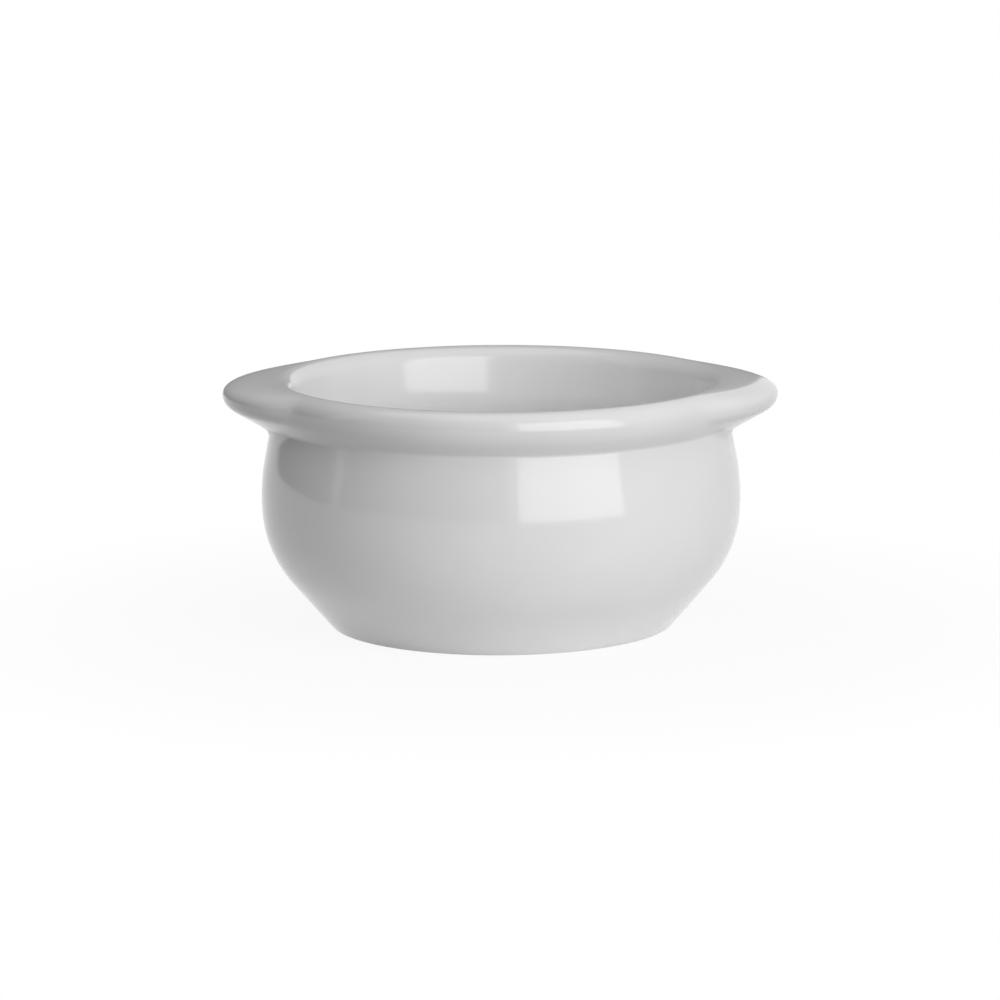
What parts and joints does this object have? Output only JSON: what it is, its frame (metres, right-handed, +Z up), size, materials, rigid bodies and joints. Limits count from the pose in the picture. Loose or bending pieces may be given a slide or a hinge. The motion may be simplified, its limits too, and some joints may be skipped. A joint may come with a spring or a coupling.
{
  "type": "soup crock",
  "caption": "Round crock for baked onion soup, with a thick rolled rim that runs out into a lug handle at each side, a drawn-in neck, a full belly and a flat foot ring.",
  "frame": {"origin": "centre of the flat face of the foot ring, where the crock's axis meets the table", "axes": "+Z up along the crock's axis, out of its mouth; -Y faces the viewer of the picture; +X to the viewer's right, along the line through the two lugs"},
  "size_m": [0.13, 0.1124, 0.0582],
  "materials": {
    "fired_clay": "bare fired clay, dry and slightly gritty, on the foot ring only",
    "white_glaze": "smooth glossy off-white glaze"
  },
  "bodies": {
    "root": {"clay_body": "fired_clay", "glaze_coat": "white_glaze", "base_glaze": "white_glaze"}
  },
  "joints": []
}
